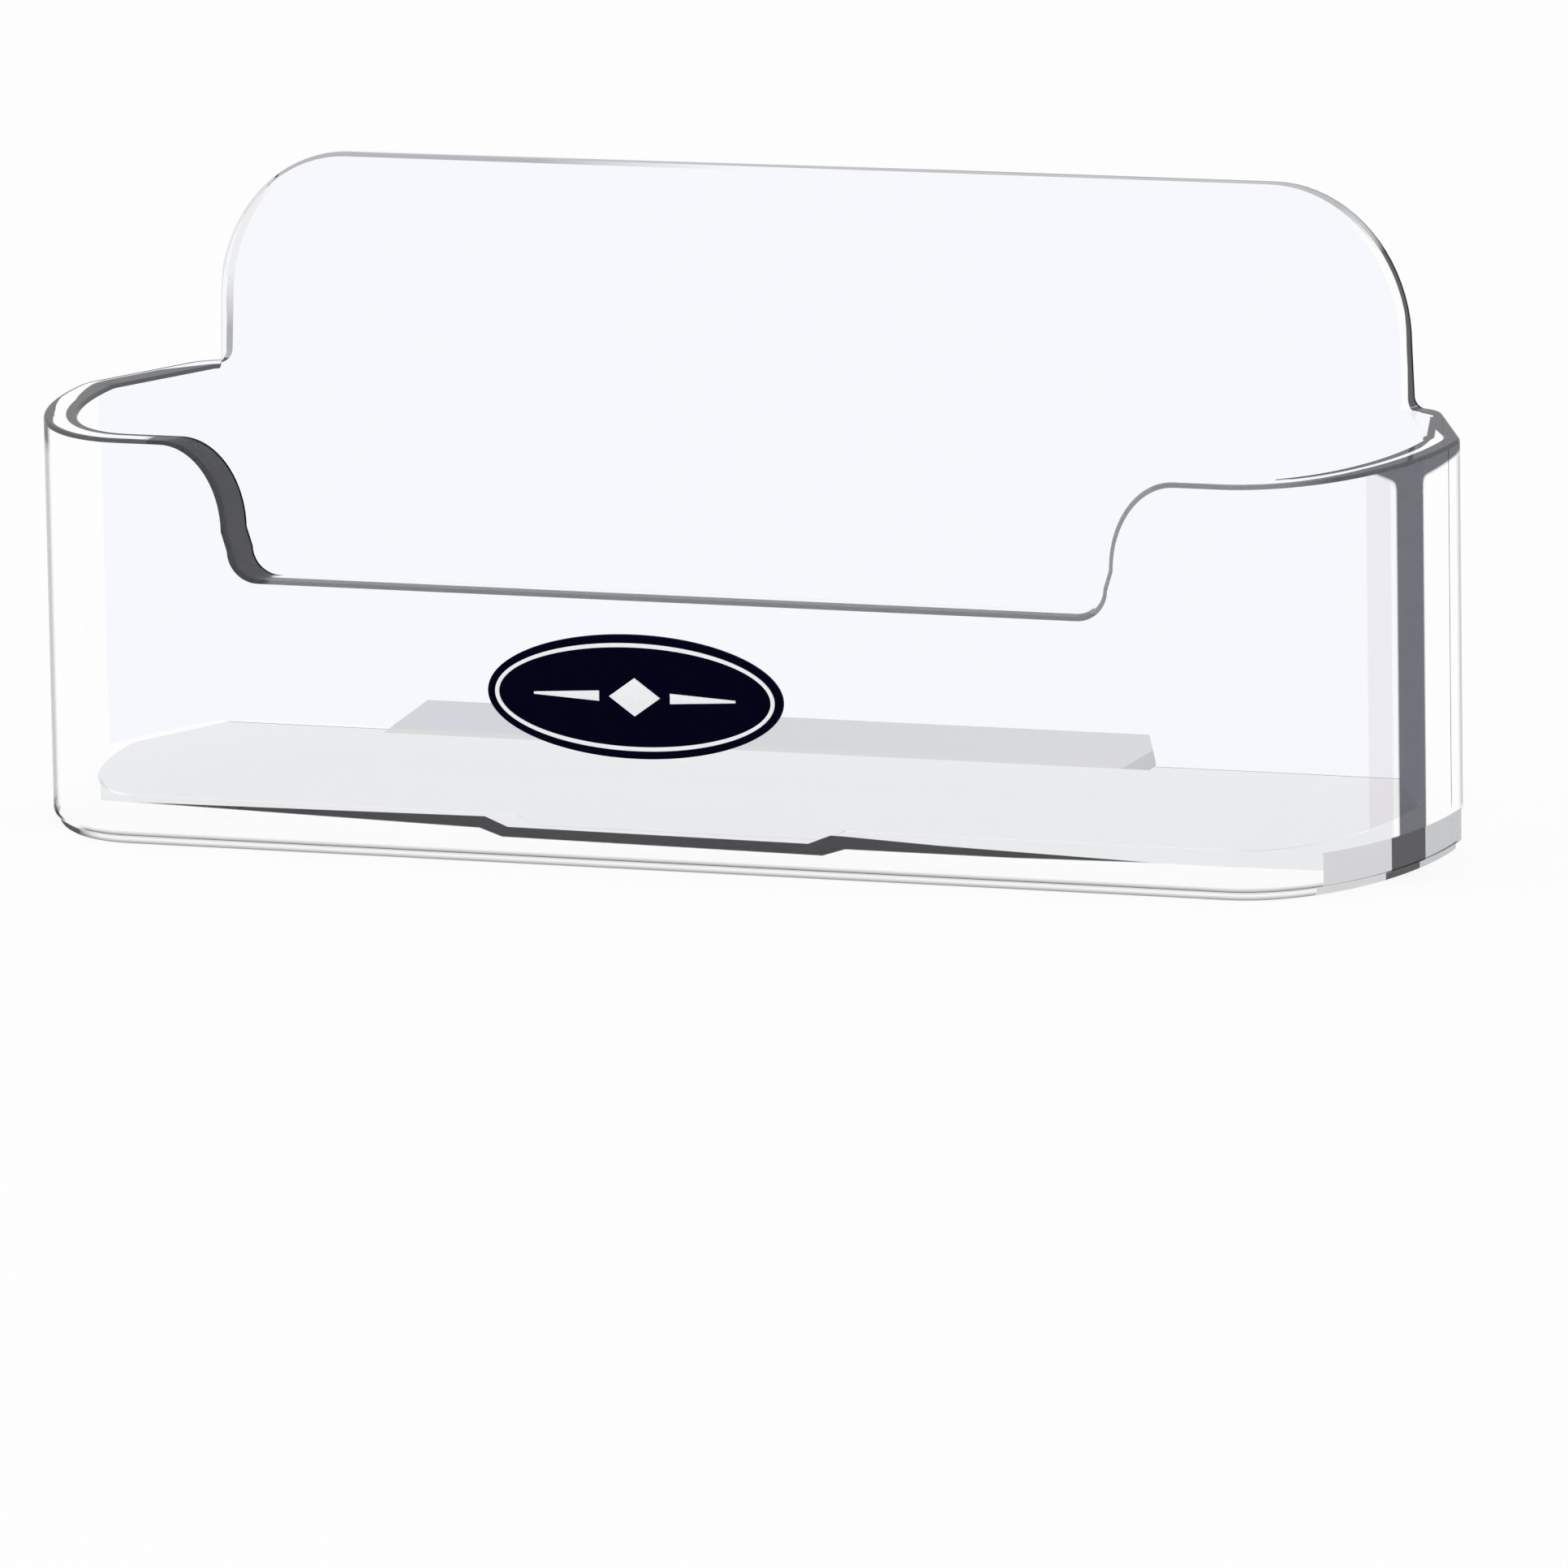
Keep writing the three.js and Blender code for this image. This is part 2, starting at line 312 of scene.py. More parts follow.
def rounded(start, corner, end, steps):
    """Rings of points that round a corner, from start to end."""
    rings = []
    for t in np.linspace(0, 1, steps + 1):
        rings.append((1 - t) ** 2 * start + 2 * t * (1 - t) * corner + t**2 * end)
    return rings


class Field:
    """A number that varies over a surface. Arithmetic on it adds shader nodes."""

    def __init__(self, tree, socket):
        self.tree = tree
        self.socket = socket

    def math(self, operation, *others):
        made = self.tree.nodes.new("ShaderNodeMath")
        made.operation = operation
        for socket, value in zip(made.inputs, (self, *others)):
            if isinstance(value, Field):
                self.tree.links.new(value.socket, socket)
            else:
                socket.default_value = value
        return Field(self.tree, made.outputs[0])

    def __add__(self, other):
        return self.math("ADD", other)

    def __sub__(self, other):
        return self.math("SUBTRACT", other)

    def __mul__(self, other):
        return self.math("MULTIPLY", other)

    def __abs__(self):
        return self.math("ABSOLUTE")

    def most(self, other):
        return self.math("MAXIMUM", other)

    def ramp(self, start, end, low=0, high=1):
        """From low at start to high at end, level outside them."""
        made = self.tree.nodes.new("ShaderNodeMapRange")
        self.tree.links.new(self.socket, made.inputs["Value"])
        made.inputs["From Min"].default_value = start
        made.inputs["From Max"].default_value = end
        made.inputs["To Min"].default_value = low
        made.inputs["To Max"].default_value = high
        return Field(self.tree, made.outputs["Result"])

    def profile(self, points):
        """Height of a broken line through points (place, height), level beyond its ends."""
        (start, low), (end, high) = points[:2]
        height = self.ramp(start, end, low, high)
        for (start, low), (end, high) in zip(points[1:], points[2:]):
            height = height + self.ramp(start, end, 0, high - low)
        return height

    def dip(self, middle, outer, inner, drop):
        """0 beyond an outer half width from the middle, the drop within an inner one."""
        return abs(self - middle).ramp(outer, inner, 0, drop)

    def above(self, edge, soft=0.04):
        return (self - edge).ramp(-soft, soft)

    def below(self, edge, soft=0.04):
        return (self - edge).ramp(soft, -soft)

    def between(self, low, high, soft=0.04):
        return self.above(low, soft) * self.below(high, soft)


# Spread of a surface's roughness about its mean, by a fine noise
ROUGHNESS_GRAIN = 900
ROUGHNESS_SPREAD = 0.3
ROUGHNESS_NOISE = (0.3, 0.7)

# Unevenness of the walls, faint clouds in the floor and speckles in the film and the ink
RIPPLE_GRAIN = 60
RIPPLE_HEIGHT = 0.004 * MM
CLOUD_GRAIN = 12
CLOUD_NOISE = (0.35, 0.65)
CLOUD_STRENGTH = 0.4
SPECKLE_NOISE = (0.4, 0.6)
SPECKLE_STRENGTH = 0.5


class Painter:
    """A principled material whose base colour is laid on in layers. Coordinates are in
    millimetres: depth is counted from the front face, z from the table and x from the
    middle."""

    def __init__(self, name, color, roughness, transmission=0, ior=1.5):
        self.material = bpy.data.materials.new(name)
        self.material.use_nodes = True
        self.tree = self.material.node_tree
        self.shader = self.tree.nodes["Principled BSDF"]
        self.set("Transmission Weight", transmission)
        self.set("IOR", ior)
        place = self.tree.nodes.new("ShaderNodeTexCoord")
        self.place = place.outputs["Object"]
        apart = self.tree.nodes.new("ShaderNodeSeparateXYZ")
        self.tree.links.new(self.place, apart.inputs["Vector"])
        self.x = Field(self.tree, apart.outputs["X"]) * (1 / MM)
        self.depth = Field(self.tree, apart.outputs["Y"]) * (1 / MM) - FRONT / MM
        self.z = Field(self.tree, apart.outputs["Z"]) * (1 / MM)
        self.left = self.x.below(0)
        self.right = self.x.above(0)
        self.socket = None
        self.color = color
        smoothest = roughness * (1 - ROUGHNESS_SPREAD)
        roughest = roughness * (1 + ROUGHNESS_SPREAD)
        grain = self.noise(ROUGHNESS_GRAIN).ramp(*ROUGHNESS_NOISE, smoothest, roughest)
        self.tree.links.new(grain.socket, self.shader.inputs["Roughness"])

    def set(self, name, value):
        self.shader.inputs[name].default_value = value

    def noise(self, scale, detail=2):
        made = self.tree.nodes.new("ShaderNodeTexNoise")
        made.inputs["Scale"].default_value = scale
        made.inputs["Detail"].default_value = detail
        self.tree.links.new(self.place, made.inputs["Vector"])
        return Field(self.tree, made.outputs["Fac"])

    def attribute(self, name):
        made = self.tree.nodes.new("ShaderNodeAttribute")
        made.attribute_name = name
        return Field(self.tree, made.outputs["Fac"])

    def layer(self, mask, color):
        made = self.tree.nodes.new("ShaderNodeMixRGB")
        self.tree.links.new(mask.socket, made.inputs["Fac"])
        if self.socket:
            self.tree.links.new(self.socket, made.inputs["Color1"])
        else:
            made.inputs["Color1"].default_value = (*self.color, 1)
        made.inputs["Color2"].default_value = (*color, 1)
        self.socket = made.outputs["Color"]
        self.tree.links.new(self.socket, self.shader.inputs["Base Color"])

    def clouds(self, color):
        """Faint patches of a colour."""
        patches = self.noise(CLOUD_GRAIN, detail=1).ramp(*CLOUD_NOISE, 0, CLOUD_STRENGTH)
        self.layer(patches, color)

    def speckles(self, grain, color):
        """Fine dots of a colour."""
        self.layer(self.noise(grain, detail=3).ramp(*SPECKLE_NOISE) * SPECKLE_STRENGTH, color)

    def ripple(self):
        """Faint unevenness of the surface."""
        bump = self.tree.nodes.new("ShaderNodeBump")
        bump.inputs["Distance"].default_value = RIPPLE_HEIGHT
        self.tree.links.new(self.noise(RIPPLE_GRAIN).socket, bump.inputs["Height"])
        self.tree.links.new(bump.outputs["Normal"], self.shader.inputs["Normal"])


def grey(level):
    return (level, level, level)


# Clear plastic. Its refraction is low, so that the thin lines of painted shade at its edges stay
# in place.
CLEAR = (1, 1, 1)
COOL = (0.872, 0.906, 0.98)
# Painted shade: the floor's grey stands for the shade under the tray, seen through the clear
# floor
FLOOR_SHADE = (0.72, 0.735, 0.76)
WALL_IOR = 1.01
TRIM_IOR = 1.05
FLOOR_IOR = 1.005
WALL_ROUGHNESS = 0.02
TRIM_ROUGHNESS = 0.04
FLOOR_ROUGHNESS = 0.03

# Heights in the painters' millimetres
FLOOR_MM = FLOOR / MM
RIM_MM = RIM / MM
FOOT_MM = FOOT / MM
CUT_MM = CUT_HEIGHT / MM
BASE_MM = FLOOR_MM + 0.1

# Cool tint of the back. It passes from the outer face to the inner one about the middle.
TINT_DEPTH = 21.9
TINT_FADE = 20
TINT_BELOW_FLOOR = 0.55

# Right end, from END_X outwards, painted shade of the curved corner: a pale zone before a dark
# strip, and how far the strip's flare hangs below the rim, by depth
END_X = 43.5
PALE_ZONE = (7.0, 9.45)
PALE_SHADE = (0.84, 0.79, 0.82)
STRIP_DEPTH = 11.87
STRIP_HALF = 1.78
STRIP_SHADE = (0.032, 0.034, 0.04)
FLARE = [(7.5, 0.12), (10.5, 1.35), (13.5, 1.35), (20, 0.9)]
FLARE_END = 21.5
FLARE_BLEND = 0.9

# Painted shade: outlines of the two ends, as ranges of depth. The left one is darker at its foot
# and tip.
LEFT_OUTLINE = (4.6, 11.4)
LEFT_OUTLINE_SHADE = grey(0.34)
LEFT_FOOT_HEIGHT = 1.6
LEFT_FOOT_DEPTH = 9.2
LEFT_FOOT_SHADE = grey(0.08)
LEFT_TIP = RIM_MM - 1.7
LEFT_TIP_SHADE = grey(0.04)
RIGHT_OUTLINE = (19.9, 25)
RIGHT_OUTLINE_TOP = RIM_MM - 0.9
RIGHT_OUTLINE_SHADE = grey(0.38)

# Painted shade of the floor's front edge behind the wall, as (x, z): a dark band whose sides meet
# at its two ends. Each side dips at the scoop: middle, outer and inner half width, drop.
BAND_TOP = [(-38.7, 2.98), (-12.5, 3.25), (12.3, 3.12), (19, 2.82), (34.5, 2.39)]
BAND_BOTTOM = [(-38.7, 2.98), (-13.2, 2.42), (12.4, 2.22), (24, 2.22), (34.5, 2.39)]
BAND_TOP_DIP = (-0.7, 12.2, 10.6, 0.64)
BAND_BOTTOM_DIP = (-0.4, 12.9, 11.3, 0.52)
BAND_DEPTH = 0.2
BAND_SHADE = (0.006, 0.006, 0.0065)

# The floor's front part, seen through the wall above the band, painted on the wall in the floor's
# painted shade. Its lower side sinks with the depth and its upper one rises, most of all in the
# left corner.
PATCH_SINK = 0.2
PATCH_TOP = [(0, FLOOR_MM + 0.66), (9.2, FLOOR_MM + 1.1)]
PATCH_DIP = (0.9, 11.5, 10.2, 0.67)
PATCH_LEFT = -40.6
PATCH_CORNER_END = -39.2
PATCH_END = 9.3

# Painted shade: grey facets at the right end of the base, between these depths
FACET_DEPTHS = (3.4, 9.2, 13.5, 20.2)
FACET_SHADES = ((0.46, 0.46, 0.48), (0.014, 0.014, 0.015), (0.33, 0.34, 0.35))

# Painted shade: lines of the lip and the foot along the front, and one dark line round the left
# corner
LIP_LINE = (FOOT_MM - 0.1, FOOT_MM + 0.24)
LIP_LINE_LEFT = -42.5
FOOT_LINE_HEIGHT = 0.24
FRONT_LINES_END = 3.4
FRONT_LINES_SHADE = grey(0.15)
CORNER_LINE_HEIGHT = 0.5
CORNER_LINE_START = -42
CORNER_LINE_END = 9
CORNER_LINE_SHADE = grey(0.01)


def tint_back(paint):
    """Cool tint of the back, above the floor and on the left half."""
    above_floor = paint.z.above(FLOOR_MM - TINT_BELOW_FLOOR, soft=0.1)
    back = paint.depth.above(TINT_DEPTH, soft=0.1) * above_floor
    paint.layer(back * paint.x.ramp(TINT_FADE, -TINT_FADE), COOL)


def dark_strip(paint, end):
    """Painted shade of the curved corner: pale zone, dark strip and the strip's flare under the
    rim.
    """
    paint.layer(end * paint.depth.between(*PALE_ZONE, soft=0.08), PALE_SHADE)
    beside_strip = abs(paint.depth - STRIP_DEPTH) - STRIP_HALF
    under_flare = (paint.z - RIM_MM + paint.depth.profile(FLARE)) * -1
    dark = beside_strip.math("SMOOTH_MIN", under_flare, FLARE_BLEND).below(0, soft=0.12)
    paint.layer(dark * end * paint.depth.below(FLARE_END), STRIP_SHADE)


def outlines_of_ends(paint):
    # Painted shade: dark outlines where the walls of the two ends turn away
    depth, z = paint.depth, paint.z
    outline = paint.left * depth.between(*LEFT_OUTLINE, soft=0.5)
    paint.layer(outline, LEFT_OUTLINE_SHADE)
    foot = z.below(LEFT_FOOT_HEIGHT, soft=1.2) * depth.below(LEFT_FOOT_DEPTH, soft=0.3)
    paint.layer(outline * foot, LEFT_FOOT_SHADE)
    paint.layer(outline * z.above(LEFT_TIP, soft=0.5), LEFT_TIP_SHADE)
    outline = paint.right * depth.between(*RIGHT_OUTLINE, soft=0.4)
    wall = z.between(BASE_MM, RIGHT_OUTLINE_TOP, soft=0.3)
    paint.layer(outline * wall, RIGHT_OUTLINE_SHADE)


def floor_behind_wall(paint):
    """Painted shade: the floor's dark front edge and its pale front part, seen through the front
    wall.
    """
    depth, x, z = paint.depth, paint.x, paint.z
    top = x.profile(BAND_TOP) - x.dip(*BAND_TOP_DIP)
    bottom = x.profile(BAND_BOTTOM) - x.dip(*BAND_BOTTOM_DIP)
    band = (top - z).above(0, soft=0.03) * (z - bottom).above(0, soft=0.03)
    paint.layer(band * depth.below(BAND_DEPTH), BAND_SHADE)
    lower = top - depth * PATCH_SINK
    corner = x.ramp(PATCH_LEFT, PATCH_CORNER_END, 1, 0)
    upper = depth.profile(PATCH_TOP) - x.dip(*PATCH_DIP) + corner * corner
    patch = (z - lower).above(0, soft=0.03) * (upper - z).above(0, soft=0.03)
    paint.layer(patch * x.above(PATCH_LEFT) * depth.below(PATCH_END), FLOOR_SHADE)


def base_facets(paint, end):
    """Painted shade: facets that the solid right end of the base shows."""
    base = paint.z.below(BASE_MM) * end
    for near, far, color in zip(FACET_DEPTHS, FACET_DEPTHS[1:], FACET_SHADES):
        paint.layer(base * paint.depth.between(near, far), color)


def base_lines(paint):
    # Painted shade: dark lines of the lip and foot at the front and round the left corner
    depth, x, z = paint.depth, paint.x, paint.z
    lip = z.between(*LIP_LINE, soft=0.14) * x.above(LIP_LINE_LEFT, soft=0.5)
    lines = lip.most(z.below(FOOT_LINE_HEIGHT, soft=0.14))
    paint.layer(lines * depth.below(FRONT_LINES_END), FRONT_LINES_SHADE)
    corner = x.below(CORNER_LINE_START, soft=1) * depth.below(CORNER_LINE_END, soft=0.3)
    paint.layer(z.below(CORNER_LINE_HEIGHT, soft=0.1) * corner, CORNER_LINE_SHADE)


def wall_outside():
    paint = Painter("plastic_outside", CLEAR, WALL_ROUGHNESS, transmission=1, ior=WALL_IOR)
    end = paint.x.above(END_X, soft=0.2)
    tint_back(paint)
    dark_strip(paint, end)
    outlines_of_ends(paint)
    floor_behind_wall(paint)
    base_facets(paint, end)
    base_lines(paint)
    paint.ripple()
    return paint.material


def wall_inside():
    paint = Painter("plastic_inside", CLEAR, WALL_ROUGHNESS, transmission=1, ior=WALL_IOR)
    back = paint.depth.above(TINT_DEPTH, soft=0.1)
    paint.layer(back * paint.x.ramp(-TINT_FADE, TINT_FADE), COOL)
    paint.ripple()
    return paint.material


# The lines of painted shade on the top of the wall lie between shares of its thickness, from 0 on
# the outside to 1 on the inside.

# Lowered front, painted shade: a line on its level edge and on its right shoulder, and a dark
# band over its left one
FRONT_WALL = 2.7
LEVEL_EDGE_TOP = CUT_MM + 0.5
LEVEL_EDGE_LINE = 0.52
LEVEL_EDGE_SHADE = (0.055, 0.055, 0.056)
SHOULDER_FOOT = CUT_MM + 0.3
RIGHT_SHOULDER_LINE = 0.2
RIGHT_SHOULDER_SHADE = grey(0.1)
LEFT_SHOULDER = (-36.8, -28.1)
LEFT_SHOULDER_SHADE = (0.0095, 0.0095, 0.01)
LEFT_SHOULDER_SIDES = (0.02, 0.98)
LEFT_SHOULDER_SIDE_SHADE = grey(0.005)

# Rim at the right end, painted shade: a dark outer band as (depth, share), an inner line, and the
# line that crosses from it to the rim's tip, with the tint of the back behind it
RIM_FACE = (RIM_MM - 0.4, RIM_MM + 0.15)
RIM_SHADE = (0.014, 0.0145, 0.016)
RIGHT_RIM = 34
RIGHT_BAND = [(2.3, 0.2), (8, 0.43), (21.5, 0.43), (24, 0.53)]
RIGHT_BAND_TIP = [(25, 0.53), (29, 0.28), (29.2, 0.28), (30, 0.6)]
RIGHT_INNER_LINE = [(17, 0.68), (20, 0.85)]
RIGHT_INNER_RUN = (3.5, 20.3)
CROSSING_START = 20
CROSSING_LINE = [(CROSSING_START, 0.98), (28.2, 0.3)]
CROSSING_RUN = (19.9, 28.6)
CROSSING_HALF = 0.13
RIGHT_RIM_FRONT = 2.6
RIGHT_RIM_FRONT_SHADE = (0.075, 0.075, 0.077)

# Rim at the left end, painted shade: a dark inner line that widens to the whole flank, a dark
# outer wedge
LEFT_RIM = -36.6
LEFT_INNER_LINE = [(14, 0.7), (22, 0.2), (26.95, 0.2), (30.5, 0.95)]
LEFT_WEDGE = [(5, 0.1), (8, 0.28), (10, 0.28), (15, 0.05)]

# Edge of the panel, painted shade: a line on its top that passes from its inner to its outer
# side, a faint left edge that gets darker at its foot, a dark right edge
PANEL_EDGE_FOOT = RIM_MM + 0.15
PANEL_EDGE_TOP = 40
TOP_LINE_RUN = (-30, 10)
TOP_LINE_OUTER = (0.75, 0)
TOP_LINE_INNER = (1.05, 0.94)
TOP_LINE_SHADE = (0.25, 0.25, 0.26)
LEFT_EDGE_SHADE = (0.75, 0.75, 0.76)
LEFT_EDGE_FOOT = 32
LEFT_EDGE_FOOT_SHADE = grey(0.2)
RIGHT_EDGE_LINE = 0.6
RIGHT_EDGE_SHADE = (0.012, 0.012, 0.013)


def lowered_front_edge(paint, across):
    # Painted shade: dark lines on the lowered front's top edge
    front = paint.depth.below(FRONT_WALL)
    level = front * paint.z.below(LEVEL_EDGE_TOP)
    paint.layer(level * across.below(LEVEL_EDGE_LINE), LEVEL_EDGE_SHADE)
    shoulder = front * paint.z.above(SHOULDER_FOOT) * paint.right
    paint.layer(shoulder * across.below(RIGHT_SHOULDER_LINE), RIGHT_SHOULDER_SHADE)
    shoulder = front * paint.x.between(*LEFT_SHOULDER, soft=0.3)
    paint.layer(shoulder, LEFT_SHOULDER_SHADE)
    sides = across.between(*LEFT_SHOULDER_SIDES, soft=0.01).ramp(1, 0)
    paint.layer(shoulder * sides, LEFT_SHOULDER_SIDE_SHADE)


def right_rim(paint, across):
    # Painted shade: dark bands and lines on the right rim
    depth = paint.depth
    rim = paint.z.between(*RIM_FACE) * paint.x.above(RIGHT_RIM)
    band = depth.profile(RIGHT_BAND + RIGHT_BAND_TIP) - across
    inner = (across - depth.profile(RIGHT_INNER_LINE)).above(0, soft=0.02)
    behind_crossing = across - depth.profile(CROSSING_LINE)
    crossing = abs(behind_crossing).below(CROSSING_HALF, soft=0.02) * depth.between(*CROSSING_RUN)
    dark = band.above(0, soft=0.02).most(inner * depth.between(*RIGHT_INNER_RUN)).most(crossing)
    tinted = behind_crossing.above(0, soft=0.02) * depth.above(CROSSING_START)
    paint.layer(rim * tinted, COOL)
    paint.layer(rim * dark, RIGHT_RIM_FRONT_SHADE)
    paint.layer(rim * dark * depth.above(RIGHT_RIM_FRONT, soft=2), RIM_SHADE)


def left_rim(paint, across):
    # Painted shade: dark line and wedge on the left rim
    rim = paint.z.between(*RIM_FACE) * paint.x.below(LEFT_RIM)
    inner = (across - paint.depth.profile(LEFT_INNER_LINE)).above(0, soft=0.02)
    wedge = (paint.depth.profile(LEFT_WEDGE) - across).above(0, soft=0.02)
    paint.layer(rim * inner.most(wedge), RIM_SHADE)


def panel_edge(paint, across):
    # Painted shade: lines on the panel's top and sides
    panel = paint.z.above(PANEL_EDGE_FOOT)
    top = panel * paint.z.above(PANEL_EDGE_TOP, soft=1.5)
    outer = paint.x.ramp(*TOP_LINE_RUN, *TOP_LINE_OUTER)
    inner = paint.x.ramp(*TOP_LINE_RUN, *TOP_LINE_INNER)
    line = (across - outer).above(0, soft=0.05) * (inner - across).above(0, soft=0.02)
    paint.layer(top * paint.x.ramp(-TINT_FADE, TINT_FADE), COOL)
    paint.layer(top * line, TOP_LINE_SHADE)
    side = panel * paint.z.below(PANEL_EDGE_TOP, soft=1.5)
    paint.layer(side * paint.left, LEFT_EDGE_SHADE)
    foot = paint.z.below(LEFT_EDGE_FOOT, soft=2)
    paint.layer(side * paint.left * foot, LEFT_EDGE_FOOT_SHADE)
    paint.layer(side * paint.right * across.below(RIGHT_EDGE_LINE), RIGHT_EDGE_SHADE)


def trim():
    """Top of the wall, with the dark lines of painted shade that a thick clear edge shows."""
    paint = Painter("plastic_trim", CLEAR, TRIM_ROUGHNESS, transmission=1, ior=TRIM_IOR)
    across = paint.attribute("across")
    lowered_front_edge(paint, across)
    right_rim(paint, across)
    left_rim(paint, across)
    panel_edge(paint, across)
    return paint.material


FLOOR_CLOUD = (0.7, 0.715, 0.745)
HOLLOW_CLOUD = (0.98, 0.985, 0.99)
# Painted shade: grey of the thick clear rib, darker on its right end
RIB_SHADE = (0.5, 0.505, 0.52)
RIB_END = 23
RIB_END_SLOPE = 0.6
RIB_END_SHADE = (0.33, 0.335, 0.35)


def floor_face():
    # Painted shade: grey floor for the shade under the tray, with faint clouds
    paint = Painter("plastic_floor", FLOOR_SHADE, FLOOR_ROUGHNESS, transmission=1, ior=FLOOR_IOR)
    paint.clouds(FLOOR_CLOUD)
    return paint.material


def rib():
    """Painted shade: grey, with a darker facet at the right end."""
    paint = Painter("plastic_rib", RIB_SHADE, FLOOR_ROUGHNESS, transmission=1, ior=FLOOR_IOR)
    end = (paint.x - RIB_END) * RIB_END_SLOPE - (paint.z - FLOOR_MM)
    paint.layer(end.above(0, soft=0.1), RIB_END_SHADE)
    return paint.material


def hollow_face():
    paint = Painter("plastic_hollow", CLEAR, FLOOR_ROUGHNESS, transmission=1, ior=FLOOR_IOR)
    paint.clouds(HOLLOW_CLOUD)
    return paint.material


# Badge: satin film and matt ink, each with its speckles
FILM_COLOR = (0.0002, 0.0002, 0.009)
FILM_SPECKLE = (0, 0, 0.006)
FILM_GRAIN = 3000
FILM_ROUGHNESS = 0.35
FILM_SPECULAR = 0.02
INK_COLOR = (0.93, 0.94, 0.95)
INK_SPECKLE = (0.88, 0.89, 0.9)
INK_GRAIN = 4000
INK_ROUGHNESS = 0.5


def vinyl():
    paint = Painter("satin_vinyl", FILM_COLOR, FILM_ROUGHNESS)
    paint.speckles(FILM_GRAIN, FILM_SPECKLE)
    paint.set("Specular IOR Level", FILM_SPECULAR)
    return paint.material


def ink():
    paint = Painter("white_ink", INK_COLOR, INK_ROUGHNESS)
    paint.speckles(INK_GRAIN, INK_SPECKLE)
    return paint.material


# The clear plastic's materials with their painted shade, in the order of the moulding's material
# slots
OUTER, INNER, TRIM, FLOOR_FACE, RIB, HOLLOW = range(6)
PLASTIC = [wall_outside(), wall_inside(), trim(), floor_face(), rib(), hollow_face()]


def shell_rings():
    """The moulding's section from its underside up the outside, over the top edge, down the
    inside and onto the floor: rings of points, the finish of the band after each ring, and the
    number of rings that lie on the outside."""
    outer_edge = whole_round(top_edge(0))
    inner_edge = whole_round(top_edge(CUT_BEVEL))
    outer_face = drawn_in(outer_edge, EDGE_RADIUS)
    inner_face = drawn_in(inner_edge, EDGE_RADIUS)
    s_out = outer_face[:, 0]
    s_in = inner_face[:, 0]
    rings = []
    bands = []

    def add(new, band):
        rings.extend(new)
        bands.extend([band] * len(new))

    foot_start = surface(s_out, 0, FOOT_INSET + LIP_RADIUS)
    foot_corner = surface(s_out, 0, FOOT_INSET)
    foot_end = surface(s_out, LIP_RADIUS, FOOT_INSET)
    add(rounded(foot_start, foot_corner, foot_end, ROUND_STEPS), OUTER)
    add([surface(s_out, FOOT, FOOT_INSET)], OUTER)
    lip_start = surface(s_out, FOOT, LIP_RADIUS)
    lip_corner = surface(s_out, FOOT, 0)
    lip_end = surface(s_out, FOOT + LIP_RADIUS, 0)
    add(rounded(lip_start, lip_corner, lip_end, ROUND_STEPS), OUTER)
    corner_out = surface(outer_edge[:, 0], outer_edge[:, 1], 0)
    corner_in = surface(inner_edge[:, 0], inner_edge[:, 1], inner_inset(inner_edge[:, 1]))
    across = corner_in - corner_out
    across /= np.linalg.norm(across, axis=1, keepdims=True)
    top_out = corner_out + across * EDGE_RADIUS
    top_in = corner_in - across * EDGE_RADIUS
    face_out = surface(s_out, outer_face[:, 1], 0)
    face_in = surface(s_in, inner_face[:, 1], inner_inset(inner_face[:, 1]))
    add(rounded(face_out, corner_out, top_out, ROUND_STEPS), TRIM)
    outside_rings = len(rings)
    add(rounded(top_in, corner_in, face_in, ROUND_STEPS)[:-1], TRIM)
    add([face_in], INNER)
    fillet_top = FLOOR + FLOOR_FILLET
    fillet_start = surface(s_in, fillet_top, inner_inset(fillet_top))
    fillet_corner = surface(s_in, FLOOR, inner_inset(FLOOR))
    fillet_end = surface(s_in, FLOOR, inner_inset(FLOOR) + FLOOR_FILLET)
    add(rounded(fillet_start, fillet_corner, fillet_end, ROUND_STEPS), INNER)
    return rings, bands, outside_rings


def linked(name, bm, materials):
    """Scene object made of a mesh whose many-sided faces are cut into triangles."""
    bmesh.ops.triangulate(bm, faces=[face for face in bm.faces if len(face.verts) > 4])
    mesh = bpy.data.meshes.new(name)
    bm.to_mesh(mesh)
    bm.free()
    for material in materials:
        mesh.materials.append(material)
    made = bpy.data.objects.new(name, mesh)
    bpy.context.scene.collection.objects.link(made)
    return made


def build_shell():
    """The moulding without its hollow, scoop and rib. The layer "across" runs from 0 on the
    outside to 1 on the inside of the wall."""
    rings, bands, outside_rings = shell_rings()
    count = len(rings[0])
    bm = bmesh.new()
    across = bm.verts.layers.float.new("across")
    rows = []
    for number, ring in enumerate(rings):
        row = [bm.verts.new(p) for p in ring]
        for vert in row:
            vert[across] = 0 if number < outside_rings else 1
        rows.append(row)
    for row, above, band in zip(rows, rows[1:], bands):
        for i in range(count):
            j = (i + 1) % count
            face = bm.faces.new([row[i], row[j], above[j], above[i]])
            face.material_index = band
    bm.faces.new(rows[0][::-1]).material_index = HOLLOW
    bm.faces.new(rows[-1]).material_index = FLOOR_FACE
    bmesh.ops.recalc_face_normals(bm, faces=bm.faces)
    return linked("tray_shell", bm, PLASTIC)


